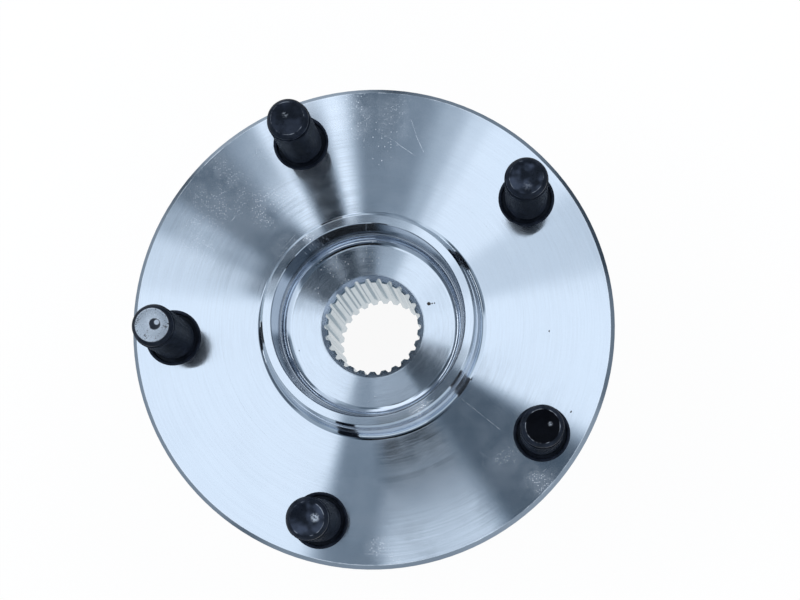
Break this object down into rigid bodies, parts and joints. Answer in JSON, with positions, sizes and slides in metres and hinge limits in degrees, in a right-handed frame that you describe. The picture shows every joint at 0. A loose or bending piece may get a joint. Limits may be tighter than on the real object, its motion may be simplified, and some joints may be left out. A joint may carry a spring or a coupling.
{
  "type": "wheel hub bearing",
  "caption": "Driven-wheel hub bearing unit: round wheel flange with studs and pilot, splined bore, and a sealed double-row ball bearing with a lugged knuckle flange.",
  "frame": {"origin": "centre of the wheel's mounting face, on the axle", "axes": "+Z along the axle towards the wheel, up as stored; +X and +Y across the flange, with the first stud 39.5 degrees from +X"},
  "size_m": [0.138, 0.138, 0.104],
  "materials": {
    "machined_steel": "bright turned steel with fine concentric tool marks",
    "ring_steel": "forged and turned bearing steel, lightly oiled",
    "race_steel": "ground bearing steel",
    "ball_steel": "polished bearing steel",
    "black_steel": "black phosphate, worn at the tips",
    "seal_sheet": "pressed sheet steel",
    "seal_rubber": "moulded nitrile rubber",
    "encoder_rubber": "magnetised rubber, satin",
    "cage_nylon": "moulded glass-filled nylon"
  },
  "bodies": {
    "fixed_ring": {"outer_ring": "ring_steel", "outboard_seal_case": "seal_sheet", "outboard_seal_lip": "seal_rubber", "inboard_seal_case": "seal_sheet", "inboard_seal_lip": "seal_rubber"},
    "turning_hub": {"hub": "machined_steel", "wheel_studs": "black_steel", "inner_ring": "race_steel", "slinger": "seal_sheet", "encoder_ring": "encoder_rubber"},
    "outboard_cage": {"cage_outboard": "cage_nylon"},
    "ball_outboard_01": {"ball_outboard_01": "ball_steel"},
    "ball_outboard_02": {"ball_outboard_02": "ball_steel"},
    "ball_outboard_03": {"ball_outboard_03": "ball_steel"},
    "ball_outboard_04": {"ball_outboard_04": "ball_steel"},
    "ball_outboard_05": {"ball_outboard_05": "ball_steel"},
    "ball_outboard_06": {"ball_outboard_06": "ball_steel"},
    "ball_outboard_07": {"ball_outboard_07": "ball_steel"},
    "ball_outboard_08": {"ball_outboard_08": "ball_steel"},
    "ball_outboard_09": {"ball_outboard_09": "ball_steel"},
    "ball_outboard_10": {"ball_outboard_10": "ball_steel"},
    "ball_outboard_11": {"ball_outboard_11": "ball_steel"},
    "ball_outboard_12": {"ball_outboard_12": "ball_steel"},
    "ball_outboard_13": {"ball_outboard_13": "ball_steel"},
    "inboard_cage": {"cage_inboard": "cage_nylon"},
    "ball_inboard_01": {"ball_inboard_01": "ball_steel"},
    "ball_inboard_02": {"ball_inboard_02": "ball_steel"},
    "ball_inboard_03": {"ball_inboard_03": "ball_steel"},
    "ball_inboard_04": {"ball_inboard_04": "ball_steel"},
    "ball_inboard_05": {"ball_inboard_05": "ball_steel"},
    "ball_inboard_06": {"ball_inboard_06": "ball_steel"},
    "ball_inboard_07": {"ball_inboard_07": "ball_steel"},
    "ball_inboard_08": {"ball_inboard_08": "ball_steel"},
    "ball_inboard_09": {"ball_inboard_09": "ball_steel"},
    "ball_inboard_10": {"ball_inboard_10": "ball_steel"},
    "ball_inboard_11": {"ball_inboard_11": "ball_steel"},
    "ball_inboard_12": {"ball_inboard_12": "ball_steel"},
    "ball_inboard_13": {"ball_inboard_13": "ball_steel"}
  },
  "joints": [
    {"name": "hub_spin", "type": "hinge", "parent": "fixed_ring", "child": "turning_hub", "pos_m": [0, 0, 0], "axis": [0, 0, 1], "continuous": true},
    {"name": "outboard_cage_orbit", "type": "hinge", "parent": "fixed_ring", "child": "outboard_cage", "pos_m": [0, 0, -0.0285], "axis": [0, 0, 1], "continuous": true},
    {"name": "ball_outboard_01_roll", "type": "hinge", "parent": "outboard_cage", "child": "ball_outboard_01", "pos_m": [0.033, 0, -0.0285], "axis": [0.6428, 0, 0.766], "continuous": true},
    {"name": "ball_outboard_02_roll", "type": "hinge", "parent": "outboard_cage", "child": "ball_outboard_02", "pos_m": [0.02922, 0.01534, -0.0285], "axis": [0.5692, 0.2987, 0.766], "continuous": true},
    {"name": "ball_outboard_03_roll", "type": "hinge", "parent": "outboard_cage", "child": "ball_outboard_03", "pos_m": [0.01875, 0.02716, -0.0285], "axis": [0.3651, 0.529, 0.766], "continuous": true},
    {"name": "ball_outboard_04_roll", "type": "hinge", "parent": "outboard_cage", "child": "ball_outboard_04", "pos_m": [0.00398, 0.03276, -0.0285], "axis": [0.0775, 0.6381, 0.766], "continuous": true},
    {"name": "ball_outboard_05_roll", "type": "hinge", "parent": "outboard_cage", "child": "ball_outboard_05", "pos_m": [-0.0117, 0.03086, -0.0285], "axis": [-0.2279, 0.601, 0.766], "continuous": true},
    {"name": "ball_outboard_06_roll", "type": "hinge", "parent": "outboard_cage", "child": "ball_outboard_06", "pos_m": [-0.0247, 0.02188, -0.0285], "axis": [-0.4811, 0.4262, 0.766], "continuous": true},
    {"name": "ball_outboard_07_roll", "type": "hinge", "parent": "outboard_cage", "child": "ball_outboard_07", "pos_m": [-0.03204, 0.0079, -0.0285], "axis": [-0.6241, 0.1538, 0.766], "continuous": true},
    {"name": "ball_outboard_08_roll", "type": "hinge", "parent": "outboard_cage", "child": "ball_outboard_08", "pos_m": [-0.03204, -0.0079, -0.0285], "axis": [-0.6241, -0.1538, 0.766], "continuous": true},
    {"name": "ball_outboard_09_roll", "type": "hinge", "parent": "outboard_cage", "child": "ball_outboard_09", "pos_m": [-0.0247, -0.02188, -0.0285], "axis": [-0.4811, -0.4262, 0.766], "continuous": true},
    {"name": "ball_outboard_10_roll", "type": "hinge", "parent": "outboard_cage", "child": "ball_outboard_10", "pos_m": [-0.0117, -0.03086, -0.0285], "axis": [-0.2279, -0.601, 0.766], "continuous": true},
    {"name": "ball_outboard_11_roll", "type": "hinge", "parent": "outboard_cage", "child": "ball_outboard_11", "pos_m": [0.00398, -0.03276, -0.0285], "axis": [0.0775, -0.6381, 0.766], "continuous": true},
    {"name": "ball_outboard_12_roll", "type": "hinge", "parent": "outboard_cage", "child": "ball_outboard_12", "pos_m": [0.01875, -0.02716, -0.0285], "axis": [0.3651, -0.529, 0.766], "continuous": true},
    {"name": "ball_outboard_13_roll", "type": "hinge", "parent": "outboard_cage", "child": "ball_outboard_13", "pos_m": [0.02922, -0.01534, -0.0285], "axis": [0.5692, -0.2987, 0.766], "continuous": true},
    {"name": "inboard_cage_orbit", "type": "hinge", "parent": "fixed_ring", "child": "inboard_cage", "pos_m": [0, 0, -0.0525], "axis": [0, 0, 1], "continuous": true},
    {"name": "ball_inboard_01_roll", "type": "hinge", "parent": "inboard_cage", "child": "ball_inboard_01", "pos_m": [0.033, 0, -0.0525], "axis": [-0.6428, 0, 0.766], "continuous": true},
    {"name": "ball_inboard_02_roll", "type": "hinge", "parent": "inboard_cage", "child": "ball_inboard_02", "pos_m": [0.02922, 0.01534, -0.0525], "axis": [-0.5692, -0.2987, 0.766], "continuous": true},
    {"name": "ball_inboard_03_roll", "type": "hinge", "parent": "inboard_cage", "child": "ball_inboard_03", "pos_m": [0.01875, 0.02716, -0.0525], "axis": [-0.3651, -0.529, 0.766], "continuous": true},
    {"name": "ball_inboard_04_roll", "type": "hinge", "parent": "inboard_cage", "child": "ball_inboard_04", "pos_m": [0.00398, 0.03276, -0.0525], "axis": [-0.0775, -0.6381, 0.766], "continuous": true},
    {"name": "ball_inboard_05_roll", "type": "hinge", "parent": "inboard_cage", "child": "ball_inboard_05", "pos_m": [-0.0117, 0.03086, -0.0525], "axis": [0.2279, -0.601, 0.766], "continuous": true},
    {"name": "ball_inboard_06_roll", "type": "hinge", "parent": "inboard_cage", "child": "ball_inboard_06", "pos_m": [-0.0247, 0.02188, -0.0525], "axis": [0.4811, -0.4262, 0.766], "continuous": true},
    {"name": "ball_inboard_07_roll", "type": "hinge", "parent": "inboard_cage", "child": "ball_inboard_07", "pos_m": [-0.03204, 0.0079, -0.0525], "axis": [0.6241, -0.1538, 0.766], "continuous": true},
    {"name": "ball_inboard_08_roll", "type": "hinge", "parent": "inboard_cage", "child": "ball_inboard_08", "pos_m": [-0.03204, -0.0079, -0.0525], "axis": [0.6241, 0.1538, 0.766], "continuous": true},
    {"name": "ball_inboard_09_roll", "type": "hinge", "parent": "inboard_cage", "child": "ball_inboard_09", "pos_m": [-0.0247, -0.02188, -0.0525], "axis": [0.4811, 0.4262, 0.766], "continuous": true},
    {"name": "ball_inboard_10_roll", "type": "hinge", "parent": "inboard_cage", "child": "ball_inboard_10", "pos_m": [-0.0117, -0.03086, -0.0525], "axis": [0.2279, 0.601, 0.766], "continuous": true},
    {"name": "ball_inboard_11_roll", "type": "hinge", "parent": "inboard_cage", "child": "ball_inboard_11", "pos_m": [0.00398, -0.03276, -0.0525], "axis": [-0.0775, 0.6381, 0.766], "continuous": true},
    {"name": "ball_inboard_12_roll", "type": "hinge", "parent": "inboard_cage", "child": "ball_inboard_12", "pos_m": [0.01875, -0.02716, -0.0525], "axis": [-0.3651, 0.529, 0.766], "continuous": true},
    {"name": "ball_inboard_13_roll", "type": "hinge", "parent": "inboard_cage", "child": "ball_inboard_13", "pos_m": [0.02922, -0.01534, -0.0525], "axis": [-0.5692, 0.2987, 0.766], "continuous": true}
  ],
  "couplings": [
    {"joint": "outboard_cage_orbit", "follows": "hub_spin", "ratio": 0.4263},
    {"joint": "ball_outboard_01_roll", "follows": "hub_spin", "ratio": -2.542},
    {"joint": "ball_outboard_02_roll", "follows": "hub_spin", "ratio": -2.542},
    {"joint": "ball_outboard_03_roll", "follows": "hub_spin", "ratio": -2.542},
    {"joint": "ball_outboard_04_roll", "follows": "hub_spin", "ratio": -2.542},
    {"joint": "ball_outboard_05_roll", "follows": "hub_spin", "ratio": -2.542},
    {"joint": "ball_outboard_06_roll", "follows": "hub_spin", "ratio": -2.542},
    {"joint": "ball_outboard_07_roll", "follows": "hub_spin", "ratio": -2.542},
    {"joint": "ball_outboard_08_roll", "follows": "hub_spin", "ratio": -2.542},
    {"joint": "ball_outboard_09_roll", "follows": "hub_spin", "ratio": -2.542},
    {"joint": "ball_outboard_10_roll", "follows": "hub_spin", "ratio": -2.542},
    {"joint": "ball_outboard_11_roll", "follows": "hub_spin", "ratio": -2.542},
    {"joint": "ball_outboard_12_roll", "follows": "hub_spin", "ratio": -2.542},
    {"joint": "ball_outboard_13_roll", "follows": "hub_spin", "ratio": -2.542},
    {"joint": "inboard_cage_orbit", "follows": "hub_spin", "ratio": 0.4263},
    {"joint": "ball_inboard_01_roll", "follows": "hub_spin", "ratio": -2.542},
    {"joint": "ball_inboard_02_roll", "follows": "hub_spin", "ratio": -2.542},
    {"joint": "ball_inboard_03_roll", "follows": "hub_spin", "ratio": -2.542},
    {"joint": "ball_inboard_04_roll", "follows": "hub_spin", "ratio": -2.542},
    {"joint": "ball_inboard_05_roll", "follows": "hub_spin", "ratio": -2.542},
    {"joint": "ball_inboard_06_roll", "follows": "hub_spin", "ratio": -2.542},
    {"joint": "ball_inboard_07_roll", "follows": "hub_spin", "ratio": -2.542},
    {"joint": "ball_inboard_08_roll", "follows": "hub_spin", "ratio": -2.542},
    {"joint": "ball_inboard_09_roll", "follows": "hub_spin", "ratio": -2.542},
    {"joint": "ball_inboard_10_roll", "follows": "hub_spin", "ratio": -2.542},
    {"joint": "ball_inboard_11_roll", "follows": "hub_spin", "ratio": -2.542},
    {"joint": "ball_inboard_12_roll", "follows": "hub_spin", "ratio": -2.542},
    {"joint": "ball_inboard_13_roll", "follows": "hub_spin", "ratio": -2.542}
  ]
}
